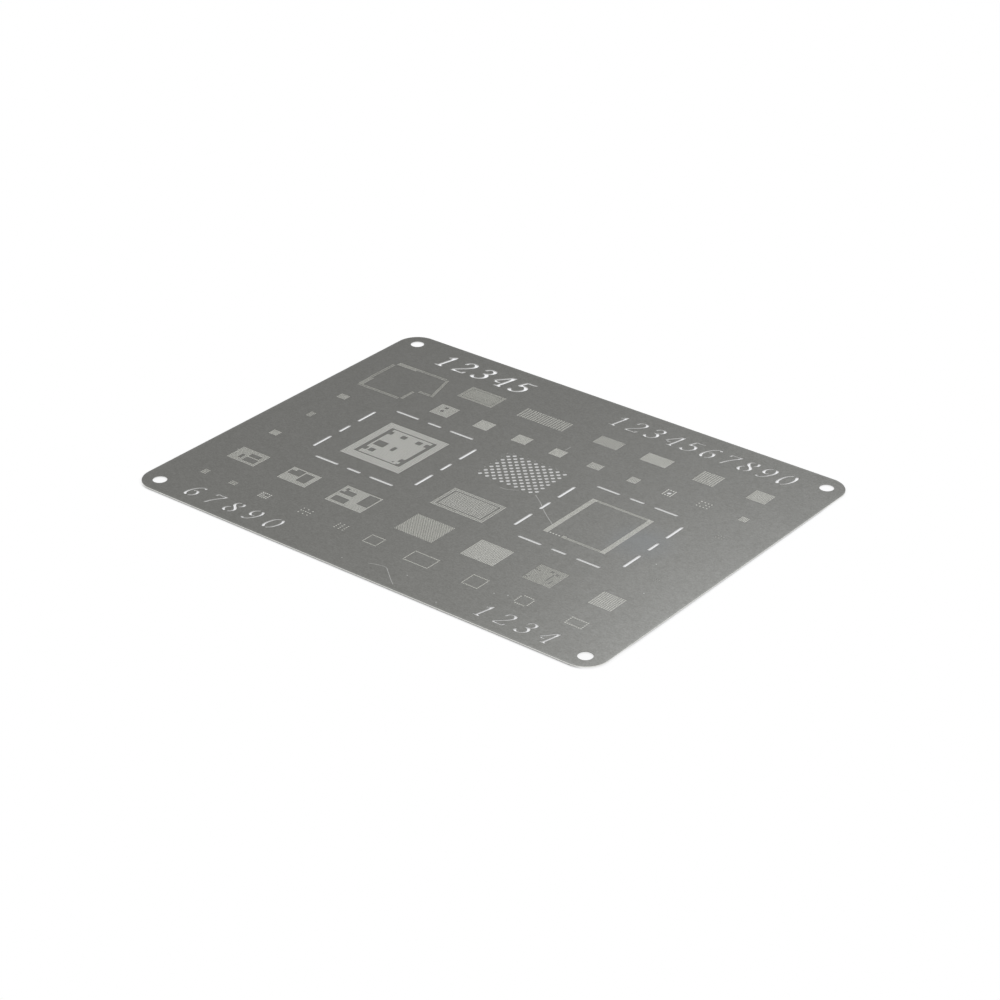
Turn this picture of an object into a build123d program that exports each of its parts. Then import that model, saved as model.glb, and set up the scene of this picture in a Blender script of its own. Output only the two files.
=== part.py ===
from build123d import *
from dataclasses import dataclass
from math import pi, sqrt
import os

# A reballing stencil: one flat steel sheet, cut through with fields of solder ball
# apertures. Sizes are in millimetres. The underside lies on z = 0, the centre of the
# outline is at x = y = 0, and the long side runs along X.

# Sheet blank
SHEET_LENGTH = 88.4
SHEET_WIDTH = 68.0
SHEET_THICKNESS = 0.12
CORNER_RADIUS = 3.8

# Locating holes, one in each corner
LOCATING_HOLE_DIAMETER = 2.3
HOLE_TO_END_EDGE = 3.2
HOLE_TO_SIDE_EDGE = 3.0

# Fine apertures: the real ones repeat every 0.35 to 0.55 mm, so each drawn aperture
# stands for a block of them and opens the same share of the steel
DRAWN_CELL = 1.5
OPEN_SHARE = 0.5

# Staggered field of large apertures, whose lines run at 45 degrees to the sheet
STAGGERED_X, STAGGERED_Y = 1.5, 5.7
BALL_PITCH = 1.0
BALL_APERTURE_DIAMETER = 0.6
STAGGERED_COLUMNS = 9
STAGGERED_ROWS = 7

# Big square field: an outer band of apertures, a narrow solid line and an inner block
SQUARE_X, SQUARE_Y = -19.5, -0.3
SQUARE_WIDTH, SQUARE_HEIGHT = 12.15, 12.5
SQUARE_SIDE_BAND = 1.3
SQUARE_BACK_BAND = 1.3
SQUARE_FRONT_BAND = 1.65
SQUARE_SIDE_LINE = 0.6
SQUARE_END_LINE = 0.3

# Big ring field round a bare middle
RING_X, RING_Y = 20.7, -0.5
RING_WIDTH, RING_HEIGHT = 11.4, 12.55
RING_SIDE_BAND = 0.85
RING_END_BAND = 0.45

# Framed field between the two big ones, and the first field of the back row
FRAMED_X, FRAMED_Y = 1.35, -7.7
FRAMED_WIDTH, FRAMED_HEIGHT = 10.2, 6.25
FRAMED_BAND = 0.75
FRAMED_LINE = 0.3
BACK_FRAMED_LINE = 0.15

# Perimeter field shaped like a plate with a sloping side and a notched corner
PLATE_LEFT, PLATE_RIGHT = -39.3, -26.1
PLATE_BACK, PLATE_FRONT = 23.7, 12.9
PLATE_SLOPE_X = -27.6
PLATE_NOTCH_X, PLATE_NOTCH_Y = -29.5, 16.85
PLATE_CORNER_GAP = 0.7
PLATE_BAND = 0.7
PLATE_WIDE_BAND = 1.05
PLATE_WIDE_BACK = 4.8
PLATE_WIDE_LEFT = 3.4

# Relief slots round the two big fields, a short slot between two long ones on each side
SLOT_WIDTH = 0.6
SHORT_SLOT = 2.8
SLOT_BRIDGE = 1.8
SLOTS_OFF_FIELD_X = 4.4
SLOTS_OFF_FIELD_Y = 3.6
SLOTS_PAST_FIELD_X = 1.9
SLOTS_PAST_FIELD_Y = 1.35

# Lines that the small fields stand on
BACK_ROW_Y = 22.1
SECOND_ROW_Y = 14.5
FOURTH_ROW_Y = -17.2
FRONT_ROW_Y = -24.7
LEFT_COLUMN_X = -37.7

# Width of the small perimeter fields in the front row
SMALL_RING_BAND = 0.35


@dataclass
class Block:
    """A rectangle of the sheet: apertures all over, but for any islands left solid."""

    x: float
    y: float
    width: float
    height: float
    islands: tuple = ()

    def covers(self, spot):
        """Whether a place on the sheet lies in the rectangle."""
        off_x = abs(spot.position.X - self.x)
        off_y = abs(spot.position.Y - self.y)
        return off_x < self.width / 2 and off_y < self.height / 2


def block_between(left, front, right, back):
    """The block with its edges in these four places."""
    return Block((left + right) / 2, (front + back) / 2, right - left, back - front)


def block_apertures(block):
    """The drawn apertures that fill a block."""
    columns = max(1, round(block.width / DRAWN_CELL))
    rows = max(1, round(block.height / DRAWN_CELL))
    cell_x = block.width / columns
    cell_y = block.height / rows
    aperture = Rectangle(cell_x * sqrt(OPEN_SHARE), cell_y * sqrt(OPEN_SHARE))
    centre = Pos(block.x, block.y)
    spots = [centre * cell for cell in GridLocations(cell_x, cell_y, columns, rows)]
    return [
        spot * aperture
        for spot in spots
        if not any(island.covers(spot) for island in block.islands)
    ]


def line_apertures(start, end, band):
    """One line of drawn apertures along the middle of a band."""
    path = Line(start, end)
    count = max(1, round(path.length / DRAWN_CELL))
    aperture = Rectangle(path.length / count * sqrt(OPEN_SHARE), band * sqrt(OPEN_SHARE))
    turn = Rot(0, 0, path.tangent_angle_at(0))
    return [Pos(path @ ((index + 0.5) / count)) * turn * aperture for index in range(count)]


def ring_blocks(x, y, width, height, side_band, back_band, front_band):
    """The four bands of a rectangular ring."""
    side_height = height - back_band - front_band
    side_y = y + (front_band - back_band) / 2
    side_x = (width - side_band) / 2
    return [
        Block(x - side_x, side_y, side_band, side_height),
        Block(x + side_x, side_y, side_band, side_height),
        Block(x, y + (height - back_band) / 2, width, back_band),
        Block(x, y - (height - front_band) / 2, width, front_band),
    ]


def framed_blocks(x, y, width, height, band, line):
    """A ring with a block inside it, parted by a narrow solid line."""
    inset = 2 * (band + line)
    inner = Block(x, y, width - inset, height - inset)
    return ring_blocks(x, y, width, height, band, band, band) + [inner]


def square_field():
    """The big square field, with the solid islands of its inner block."""
    inner_width = SQUARE_WIDTH - 2 * (SQUARE_SIDE_BAND + SQUARE_SIDE_LINE)
    inner_height = SQUARE_HEIGHT - SQUARE_BACK_BAND - SQUARE_FRONT_BAND - 2 * SQUARE_END_LINE
    inner_y = SQUARE_Y + (SQUARE_FRONT_BAND - SQUARE_BACK_BAND) / 2
    islands = (
        Block(SQUARE_X - 0.95, inner_y + 3.2, 1.3, 0.9),
        Block(SQUARE_X + 2.3, inner_y + 3.2, 1.3, 0.9),
        Block(SQUARE_X - 2.35, inner_y - 0.8, 2.2, 1.75),
        Block(SQUARE_X + 0.2, inner_y - 0.9, 1.0, 1.3),
        Block(SQUARE_X - 2.5, inner_y - 3.1, 1.3, 0.9),
    )
    outer = ring_blocks(
        SQUARE_X,
        SQUARE_Y,
        SQUARE_WIDTH,
        SQUARE_HEIGHT,
        SQUARE_SIDE_BAND,
        SQUARE_BACK_BAND,
        SQUARE_FRONT_BAND,
    )
    return outer + [Block(SQUARE_X, inner_y, inner_width, inner_height, islands)]


def ring_field():
    """The big ring field."""
    bands = (RING_SIDE_BAND, RING_END_BAND, RING_END_BAND)
    return ring_blocks(RING_X, RING_Y, RING_WIDTH, RING_HEIGHT, *bands)


def plate_blocks():
    """The straight bands that follow the plate's edge, inside its outline."""
    wide_back = PLATE_LEFT + PLATE_WIDE_BACK
    wide_left = PLATE_FRONT + PLATE_WIDE_LEFT
    back = PLATE_BACK - PLATE_BAND
    left = PLATE_LEFT + PLATE_BAND
    notch_left = PLATE_NOTCH_X - PLATE_BAND
    notch_top = PLATE_NOTCH_Y + PLATE_BAND
    corner_x = PLATE_LEFT + PLATE_CORNER_GAP
    corner_y = PLATE_BACK - 2 * PLATE_CORNER_GAP
    return [
        block_between(corner_x, PLATE_BACK - PLATE_WIDE_BAND, wide_back, PLATE_BACK),
        block_between(wide_back, back, PLATE_SLOPE_X - PLATE_BAND, PLATE_BACK),
        block_between(PLATE_NOTCH_X, PLATE_NOTCH_Y, PLATE_RIGHT - PLATE_BAND, notch_top),
        block_between(notch_left, PLATE_FRONT + PLATE_BAND, PLATE_NOTCH_X, PLATE_NOTCH_Y),
        block_between(left, PLATE_FRONT, notch_left, PLATE_FRONT + PLATE_BAND),
        block_between(PLATE_LEFT, PLATE_FRONT, PLATE_LEFT + PLATE_WIDE_BAND, wide_left),
        block_between(PLATE_LEFT, wide_left, left, corner_y),
    ]


def plate_slope():
    """The apertures along the plate's sloping side."""
    inset = PLATE_BAND / 2
    back = (PLATE_SLOPE_X - inset, PLATE_BACK)
    front = (PLATE_RIGHT - inset, PLATE_NOTCH_Y)
    return line_apertures(back, front, PLATE_BAND)


def staggered_field():
    """Large apertures on two interleaved grids, each a square of the round one's area."""
    side = BALL_APERTURE_DIAMETER * sqrt(pi) / 2
    step = BALL_PITCH * sqrt(2)
    grids = [
        GridLocations(step, step, STAGGERED_COLUMNS, STAGGERED_ROWS - 1),
        GridLocations(step, step, STAGGERED_COLUMNS - 1, STAGGERED_ROWS),
    ]
    aperture = Pos(STAGGERED_X, STAGGERED_Y) * Rectangle(side, side)
    return [spot * aperture for grid in grids for spot in grid]


def relief_row(length):
    """Three slots in line along X, in a row of this length about the origin."""
    long_slot = (length - SHORT_SLOT) / 2 - SLOT_BRIDGE
    reach = (length - long_slot) / 2
    end_slot = SlotOverall(long_slot, SLOT_WIDTH)
    return [Pos(-reach, 0) * end_slot, SlotOverall(SHORT_SLOT, SLOT_WIDTH), Pos(reach, 0) * end_slot]


def relief_slots(x, y, width, height):
    """The rows of relief slots on the four sides of a field."""
    row = relief_row(width + 2 * SLOTS_PAST_FIELD_X)
    column = relief_row(height + 2 * SLOTS_PAST_FIELD_Y)
    off_y = height / 2 + SLOTS_OFF_FIELD_Y
    off_x = width / 2 + SLOTS_OFF_FIELD_X
    rows = [Pos(x, y + side * off_y) * slot for side in (-1, 1) for slot in row]
    columns = [Pos(x + side * off_x, y) * Rot(0, 0, 90) * slot for side in (-1, 1) for slot in column]
    return rows + columns


def back_rows():
    """The two rows of small fields at the back, from left to right."""
    framed = framed_blocks(-19.8, BACK_ROW_Y, 7.3, 4.3, FRAMED_BAND, BACK_FRAMED_LINE)
    return framed + [
        Block(-6.85, BACK_ROW_Y, 9.5, 3.25),
        Block(6.05, BACK_ROW_Y, 4.75, 2.75),
        Block(15.4, BACK_ROW_Y, 5.0, 2.95),
        Block(25.15, BACK_ROW_Y, 3.95, 3.7),
        Block(34.75, BACK_ROW_Y, 3.5, 3.3),
        Block(-21.5, SECOND_ROW_Y, 3.7, 3.6),
        Block(-13.25, SECOND_ROW_Y, 2.95, 2.95),
        Block(-5.45, SECOND_ROW_Y, 2.9, 2.5),
        Block(1.8, SECOND_ROW_Y, 2.55, 2.4),
        Block(9.05, SECOND_ROW_Y, 2.55, 1.9),
        Block(16.35, SECOND_ROW_Y, 1.8, 1.95),
        Block(23.05, SECOND_ROW_Y, 1.8, 1.95),
        Block(29.4, SECOND_ROW_Y, 2.2, 1.8),
        Block(36.6, SECOND_ROW_Y, 1.45, 1.45),
    ]


def end_fields():
    """The small fields along the left end, from back to front."""
    return [
        Block(LEFT_COLUMN_X, 8.1, 1.9, 1.5),
        Block(LEFT_COLUMN_X, 0.1, 1.2, 1.65),
        Block(LEFT_COLUMN_X, -8.3, 1.8, 1.6),
    ]


def fourth_row():
    """The larger fields of the fourth row, from left to right, the first three with islands."""
    first_islands = (Block(-34.4, -16.2, 2.3, 1.0), Block(-34.3, -17.85, 2.6, 1.3))
    second_islands = (Block(-26.1, -16.3, 2.2, 1.8), Block(-23.6, -16.85, 1.8, 2.9))
    third_islands = (
        Block(-15.3, -15.9, 2.3, 1.3),
        Block(-11.25, -16.35, 2.1, 3.1),
        Block(-15.0, -18.45, 2.5, 1.3),
    )
    return [
        Block(-35.45, FOURTH_ROW_Y, 5.8, 4.05, first_islands),
        Block(-24.65, FOURTH_ROW_Y, 5.75, 4.2, second_islands),
        Block(-13.4, FOURTH_ROW_Y, 7.25, 5.45, third_islands),
        Block(0.8, FOURTH_ROW_Y, 7.4, 5.8),
        Block(12.65, FOURTH_ROW_Y, 6.25, 5.4),
        Block(23.6, FOURTH_ROW_Y, 5.35, 4.85),
        Block(34.75, FOURTH_ROW_Y, 4.2, 4.1),
    ]


def front_row():
    """The front row, from left to right: small blocks, then small rings."""
    blocks = [
        Block(-37.35, FRONT_ROW_Y, 1.3, 1.5),
        Block(-31.35, FRONT_ROW_Y, 1.5, 1.25),
        Block(-24.85, FRONT_ROW_Y, 2.1, 1.8),
        Block(-16.55, FRONT_ROW_Y, 2.3, 1.8),
        Block(-9.3, FRONT_ROW_Y, 2.2, 1.7),
    ]
    rings = [
        Block(-2.75, FRONT_ROW_Y, 2.7, 2.5),
        Block(6.4, FRONT_ROW_Y, 4.75, 3.1),
        Block(16.5, FRONT_ROW_Y, 3.05, 3.05),
        Block(25.35, FRONT_ROW_Y, 2.5, 2.5),
        Block(34.85, FRONT_ROW_Y, 3.1, 2.1),
    ]
    bands = (SMALL_RING_BAND, SMALL_RING_BAND, SMALL_RING_BAND)
    for ring in rings:
        blocks += ring_blocks(ring.x, ring.y, ring.width, ring.height, *bands)
    return blocks


def locating_holes():
    """The round hole in each corner."""
    spacing_x = SHEET_LENGTH - 2 * HOLE_TO_END_EDGE
    spacing_y = SHEET_WIDTH - 2 * HOLE_TO_SIDE_EDGE
    hole = Circle(LOCATING_HOLE_DIAMETER / 2)
    return [corner * hole for corner in GridLocations(spacing_x, spacing_y, 2, 2)]


def stencil_sheet():
    """The whole sheet, with every cutout through it."""
    blocks = square_field() + ring_field() + plate_blocks()
    blocks += framed_blocks(FRAMED_X, FRAMED_Y, FRAMED_WIDTH, FRAMED_HEIGHT, FRAMED_BAND, FRAMED_LINE)
    blocks += back_rows() + end_fields() + fourth_row() + front_row()
    cutouts = [aperture for block in blocks for aperture in block_apertures(block)]
    cutouts += plate_slope() + staggered_field() + locating_holes()
    cutouts += relief_slots(SQUARE_X, SQUARE_Y, SQUARE_WIDTH, SQUARE_HEIGHT)
    cutouts += relief_slots(RING_X, RING_Y, RING_WIDTH, RING_HEIGHT)
    print("cutouts:", len(cutouts))
    outline = RectangleRounded(SHEET_LENGTH, SHEET_WIDTH, CORNER_RADIUS)
    return extrude(outline - cutouts, SHEET_THICKNESS)


os.makedirs("parts", exist_ok=True)
sheet = stencil_sheet()
sheet.label = "stencil_sheet"
export_step(sheet, "parts/stencil_sheet.step")
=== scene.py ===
"""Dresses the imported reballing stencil: full-pitch sheet, finishes, floor, light and camera.

Layout sizes are in millimetres from the centre of the sheet, as in the part's source. The
meshes, the finishes and the studio are in metres. The sheet's underside lies on z = 0.
"""

import logging
import math
from collections import Counter
from collections.abc import Callable, Sequence
from dataclasses import dataclass, field
from enum import Enum

import bpy
from mathutils import Matrix, Vector
from mathutils.geometry import delaunay_2d_cdt

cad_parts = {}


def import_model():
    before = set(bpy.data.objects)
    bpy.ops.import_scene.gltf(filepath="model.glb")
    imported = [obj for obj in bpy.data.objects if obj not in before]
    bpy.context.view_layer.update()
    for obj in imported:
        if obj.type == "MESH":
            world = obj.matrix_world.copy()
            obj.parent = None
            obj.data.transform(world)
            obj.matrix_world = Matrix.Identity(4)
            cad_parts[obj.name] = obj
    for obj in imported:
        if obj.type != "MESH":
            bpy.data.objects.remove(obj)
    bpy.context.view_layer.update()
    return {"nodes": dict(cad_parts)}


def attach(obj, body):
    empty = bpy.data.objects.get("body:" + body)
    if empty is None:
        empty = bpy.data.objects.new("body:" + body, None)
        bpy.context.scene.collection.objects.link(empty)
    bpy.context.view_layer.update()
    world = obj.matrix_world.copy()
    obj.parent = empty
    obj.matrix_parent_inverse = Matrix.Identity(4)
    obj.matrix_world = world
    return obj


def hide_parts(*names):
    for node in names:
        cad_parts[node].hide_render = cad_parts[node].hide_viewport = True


log = logging.getLogger("stencil")

# One millimetre in metres, and the sheet's outline in millimetres
MM = 0.001
LENGTH = 88.4
WIDTH = 68.0
CORNER_RADIUS = 3.8

# How far the point of a stroke reaches past its end, as a share of its half width
TIP = 0.7

# The kind of triangles asked for, and how near two points are one, in millimetres
INSIDE_ONLY = 1
SAME_POINT = 1e-7

Point = tuple[float, float]
Place = tuple[float, float, float]
Outline = list[Point]
Colour = tuple[float, float, float]


class SheetFinish(Enum):
    """The finishes of the sheet, in the order of its material slots."""

    ROLLED = 0
    CUT = 1
    BURNISHED = 2
    PAINTED_SHADE = 3


class Opening(Enum):
    """The shapes of aperture that the cutter makes."""

    SQUARE = "square, with clipped corners"
    TURNED = "square, with clipped corners, turned by 45 degrees"
    ROUND = "round"


@dataclass(frozen=True)
class Aperture:
    """One aperture: its centre, its size along each axis, its shape and its clipped corners."""

    x: float
    y: float
    width: float
    height: float
    shape: Opening = Opening.SQUARE
    clip: float = 0.24
    finest_clipped: float = 0.22
    round_sides: int = 16

    def outline(self) -> Outline:
        """The aperture's outline, anticlockwise.

        Returns:
            Eight points for a square one, or four where it is very fine, or one for each side
            of a round one.
        """
        half_x, half_y = self.width / 2, self.height / 2
        if self.shape is Opening.SQUARE and min(self.width, self.height) < self.finest_clipped:
            corners = [(half_x, -half_y), (half_x, half_y), (-half_x, half_y), (-half_x, -half_y)]
            return [(self.x + x, self.y + y) for x, y in corners]
        if self.shape is Opening.ROUND:
            turns = [2 * math.pi * (i + 0.5) / self.round_sides for i in range(self.round_sides)]
            return [(self.x + half_x * math.cos(a), self.y + half_y * math.sin(a)) for a in turns]
        in_x, in_y = half_x - self.clip * self.width, half_y - self.clip * self.height
        corners = [(half_x, in_y), (in_x, half_y), (-in_x, half_y), (-half_x, in_y)]
        corners += [(-x, -y) for x, y in corners]
        if self.shape is Opening.TURNED:
            corners = [((x - y) * math.sqrt(0.5), (x + y) * math.sqrt(0.5)) for x, y in corners]
        return [(self.x + x, self.y + y) for x, y in corners]


@dataclass(frozen=True)
class Patch:
    """A rectangle of the sheet, given by its left, front, right and back edges."""

    left: float
    front: float
    right: float
    back: float

    def covers(self, place: Point) -> bool:
        """Whether a place on the sheet lies in the rectangle."""
        return self.left < place[0] < self.right and self.front < place[1] < self.back


@dataclass(frozen=True)
class Field:
    """A rectangular field of apertures, fitted to its outer edges as near its pitch as it goes.

    The pitch and the opening hold both ways, unless those across the sheet are given too.
    """

    x: float
    y: float
    width: float
    height: float
    pitch: float = 0.35
    opening: float = 0.25
    pitch_y: float | None = None
    opening_y: float | None = None
    bare: tuple[Patch, ...] = ()
    shape: Opening = Opening.SQUARE

    def counts(self) -> tuple[int, int]:
        """How many columns and rows of apertures fit.

        Returns:
            The columns and the rows, at least one of each.
        """
        deep = self.opening_y or self.opening
        columns = round((self.width - self.opening) / self.pitch) + 1
        rows = round((self.height - deep) / (self.pitch_y or self.pitch)) + 1
        return max(1, columns), max(1, rows)

    def keeps(self, column: int, row: int) -> bool:
        """Whether the aperture at this column and row is cut."""
        return True

    def apertures(self) -> list[Aperture]:
        """Every aperture of the field.

        Returns:
            The apertures by column, then row, without those in bare patches.
        """
        wide, deep = self.opening, self.opening_y or self.opening
        columns, rows = self.counts()
        step_x = (self.width - wide) / max(1, columns - 1)
        step_y = (self.height - deep) / max(1, rows - 1)
        found = []
        for column in range(columns):
            for row in range(rows):
                x = self.x + (column - (columns - 1) / 2) * step_x
                y = self.y + (row - (rows - 1) / 2) * step_y
                if self.keeps(column, row) and not any(p.covers((x, y)) for p in self.bare):
                    found.append(Aperture(x, y, wide, deep, self.shape))
        return found


@dataclass(frozen=True)
class Ring(Field):
    """A field that keeps only the bands along its four edges, so many apertures wide."""

    left: int = 1
    right: int = 1
    back: int = 1
    front: int = 1

    def keeps(self, column: int, row: int) -> bool:
        """Whether an aperture lies in one of the bands.

        Args:
            column: Its column, counted from the left.
            row: Its row, counted from the front.

        Returns:
            True in a band.
        """
        columns, rows = self.counts()
        inside_x = self.left <= column < columns - self.right
        inside_y = self.front <= row < rows - self.back
        return not (inside_x and inside_y)


@dataclass(frozen=True)
class Staggered(Field):
    """A field of two interleaved grids, so that its lines run diagonally."""

    def apertures(self) -> list[Aperture]:
        """Every aperture of the field.

        Returns:
            The apertures of the grid that reaches the edges, then those between its lines.
        """
        columns, rows = self.counts()
        step_x = (self.width - self.opening) / (columns - 1)
        step_y = (self.height - self.opening) / (rows - 1)
        between = Field(self.x, self.y, self.width - step_x, self.height - step_y, step_x,
                        self.opening, pitch_y=step_y, bare=self.bare, shape=self.shape)
        return super().apertures() + between.apertures()


def framed(x: float, y: float, width: float, height: float, pitch: float,
           opening: tuple[float, float], gap: tuple[float, float]) -> list[Field]:
    """A ring two apertures wide round a block, parted by a narrow solid line.

    Args:
        x: Centre of the field along the sheet.
        y: Centre of the field across the sheet.
        width: Outer size along the sheet.
        height: Outer size across the sheet.
        pitch: Distance between apertures.
        opening: Size of an aperture, along and across the sheet.
        gap: Solid line at the two ends, and at the back and front.

    Returns:
        The ring and the block.
    """
    inner_width, inner_height = (
        size - 2 * (pitch + hole + line) for size, hole, line in zip((width, height), opening, gap)
    )
    wide, deep = opening
    return [
        Ring(x, y, width, height, pitch, wide, opening_y=deep, left=2, right=2, back=2, front=2),
        Field(x, y, inner_width, inner_height, pitch, wide, opening_y=deep),
    ]


def lines_round(x: float, y: float, width: float, height: float, pitch: float, along: float,
                across: float) -> list[Field]:
    """A single line of apertures round a rectangle.

    Args:
        x: Centre of the rectangle along the sheet.
        y: Centre of the rectangle across the sheet.
        width: Outer size along the sheet.
        height: Outer size across the sheet.
        pitch: Distance between apertures.
        along: Size of an aperture along its line.
        across: Size of an aperture across its line.

    Returns:
        The front and back lines, and the two end lines between them.
    """
    reach_x, reach_y = (width - across) / 2, (height - across) / 2
    between = height - 2 * pitch
    lines = [Field(x, y + side * reach_y, width, across, pitch, along, opening_y=across)
             for side in (-1, 1)]
    ends = [Field(x + side * reach_x, y, across, between, pitch, across, opening_y=along)
            for side in (-1, 1)]
    return lines + ends


@dataclass(frozen=True)
class SquareField:
    """The big square field: an outer band of apertures round a block with solid islands."""

    x: float = -19.47
    y: float = -0.33
    width: float = 12.0
    height: float = 12.5
    inner_y: float = -0.16
    inner_width: float = 7.9
    inner_height: float = 8.88
    pitch: float = 0.35
    opening: float = 0.265

    def islands(self) -> tuple[Patch, ...]:
        """The parts of the inner block that are left solid.

        Returns:
            The islands, from back to front.
        """
        return (
            Patch(-23.8, 2.76, -22.88, 3.76),
            Patch(-21.1, 2.65, -19.85, 3.7),
            Patch(-17.8, 2.65, -16.78, 3.7),
            Patch(-16.05, 2.66, -15.2, 3.66),
            Patch(-23.05, -1.7, -21.1, 0.06),
            Patch(-19.8, -1.45, -18.8, -0.3),
            Patch(-23.8, -3.6, -22.88, -2.55),
            Patch(-22.4, -3.6, -21.35, -2.6),
            Patch(-16.05, -3.6, -15.2, -2.65),
            Patch(-16.9, -4.2, -16.56, -3.85),
            Patch(-15.98, -4.68, -15.54, -4.24),
        )

    def fields(self) -> list[Field]:
        """The two parts of the field.

        Returns:
            The outer band and the inner block.
        """
        band = Ring(self.x, self.y, self.width, self.height, self.pitch, self.opening,
                    left=4, right=4, back=4, front=5)
        block = Field(self.x, self.inner_y, self.inner_width, self.inner_height, self.pitch,
                      self.opening, bare=self.islands())
        return [band, block]


@dataclass(frozen=True)
class RingField:
    """The big ring field round a bare middle, with a broken front corner."""

    left: float = 14.97
    right: float = 26.4
    back: float = 5.77
    front: float = -6.77
    side_pitch: float = 0.25
    side_opening: float = 0.198
    end_pitch: float = 0.24
    end_opening: float = 0.173
    side_band: float = 0.86
    end_band: float = 0.43
    front_bar_starts: float = 18.38
    step_width: float = 0.62
    step_height: float = 0.2
    dot_pitch: float = 0.55
    dot_starts: float = 16.24
    dot_size: float = 0.27
    dot_count: int = 4

    def fields(self) -> list[Field]:
        """The parts of the ring.

        Returns:
            The four bars, the step at the start of the front bar and the dots before it.
        """
        middle_y, height = (self.back + self.front) / 2, self.back - self.front
        side = (self.side_band, height, self.side_pitch, self.side_opening)
        end = (self.end_pitch, self.end_opening)
        inner_left, inner_right = self.left + self.side_band, self.right - self.side_band
        back_y = self.back - self.end_band / 2
        front_y = self.front + self.end_band / 2
        start = self.front_bar_starts
        bars = [
            Field(self.left + self.side_band / 2, middle_y, *side),
            Field(self.right - self.side_band / 2, middle_y, *side),
            Field((inner_left + inner_right) / 2, back_y, inner_right - inner_left,
                  self.end_band, *end),
            Field((start + inner_right) / 2, front_y, inner_right - start, self.end_band, *end),
            Field(start + self.step_width / 2, front_y + self.end_band / 2 + self.step_height / 2,
                  self.step_width, self.step_height, *end),
        ]
        dots = [
            Field(self.dot_starts + i * self.dot_pitch, front_y, self.dot_size, self.dot_size,
                  self.dot_pitch, self.dot_size)
            for i in range(self.dot_count)
        ]
        return bars + dots


@dataclass(frozen=True)
class PlateField:
    """The perimeter field shaped like a plate with a sloping side and a notched corner."""

    left: float = -39.15
    back: float = 23.58
    front: float = 13.05
    band: float = 0.52
    wide_band: float = 0.82
    slope_back: Point = (-28.0, 23.2)
    slope_front: Point = (-26.35, 17.15)
    pitch: float = 0.27
    opening: float = 0.17
    wide_opening: float = 0.19

    def bar(self, left: float, front: float, right: float, back: float,
            wide: bool = False) -> Field:
        """One straight bar of the outline.

        Args:
            left: Its left edge.
            front: Its front edge.
            right: Its right edge.
            back: Its back edge.
            wide: Whether it is one of the wide bars, whose apertures are larger.

        Returns:
            The bar, as a narrow field.
        """
        return Field((left + right) / 2, (front + back) / 2, right - left, back - front,
                     self.pitch, self.wide_opening if wide else self.opening)

    def bars(self) -> list[Field]:
        """The straight bars along the plate's edge.

        Returns:
            Two bars along the back, two on the left, one at the front and two at the notch.
        """
        left, back, front, band = self.left, self.back, self.front, self.band
        return [
            self.bar(-38.5, back - self.wide_band, -34.5, back, wide=True),
            self.bar(-34.4, back - band, -28.4, back),
            self.bar(left, 16.5, left + band, 22.4),
            self.bar(left + 0.1, front + 0.6, left + 0.1 + self.wide_band, 16.4, wide=True),
            self.bar(left + 0.26, front, -30.35, front + band),
            self.bar(-30.1, front + band, -29.63, 16.6),
            self.bar(-29.15, 16.97, -26.85, 16.97 + band),
        ]

    def slope(self) -> list[Aperture]:
        """The two lines of apertures along the sloping side.

        Returns:
            The apertures in pairs, from the back to the front.
        """
        start, end = Vector(self.slope_back), Vector(self.slope_front)
        along = end - start
        across = Vector((-along.y, along.x)).normalized() * self.pitch / 2
        count = round(along.length / self.pitch)
        places = [start + along * i / count for i in range(count + 1)]
        return [
            Aperture(place.x + side * across.x, place.y + side * across.y,
                     self.opening, self.opening)
            for place in places
            for side in (-1, 1)
        ]


@dataclass(frozen=True)
class StaggeredField:
    """The field of large apertures, whose lines run at 45 degrees to the sheet."""

    x: float = 1.25
    y: float = 5.77
    ball_pitch: float = 1.0
    opening: float = 0.65
    small_opening: float = 0.29
    clip: float = 0.15
    half_columns: int = 17
    half_rows: int = 13

    def apertures(self) -> list[Aperture]:
        """The turned apertures, small along the left side and the back.

        Returns:
            The apertures by column, then row.
        """
        step = self.ball_pitch / math.sqrt(2)
        found = []
        for column in range(self.half_columns):
            for row in range(self.half_rows):
                if (column + row) % 2:
                    x = self.x + (column - (self.half_columns - 1) / 2) * step
                    y = self.y + (row - (self.half_rows - 1) / 2) * step
                    outer = column == 0 or row == self.half_rows - 1
                    size = self.small_opening if outer else self.opening
                    found.append(Aperture(x, y, size, size, Opening.TURNED, self.clip))
        return found


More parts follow.
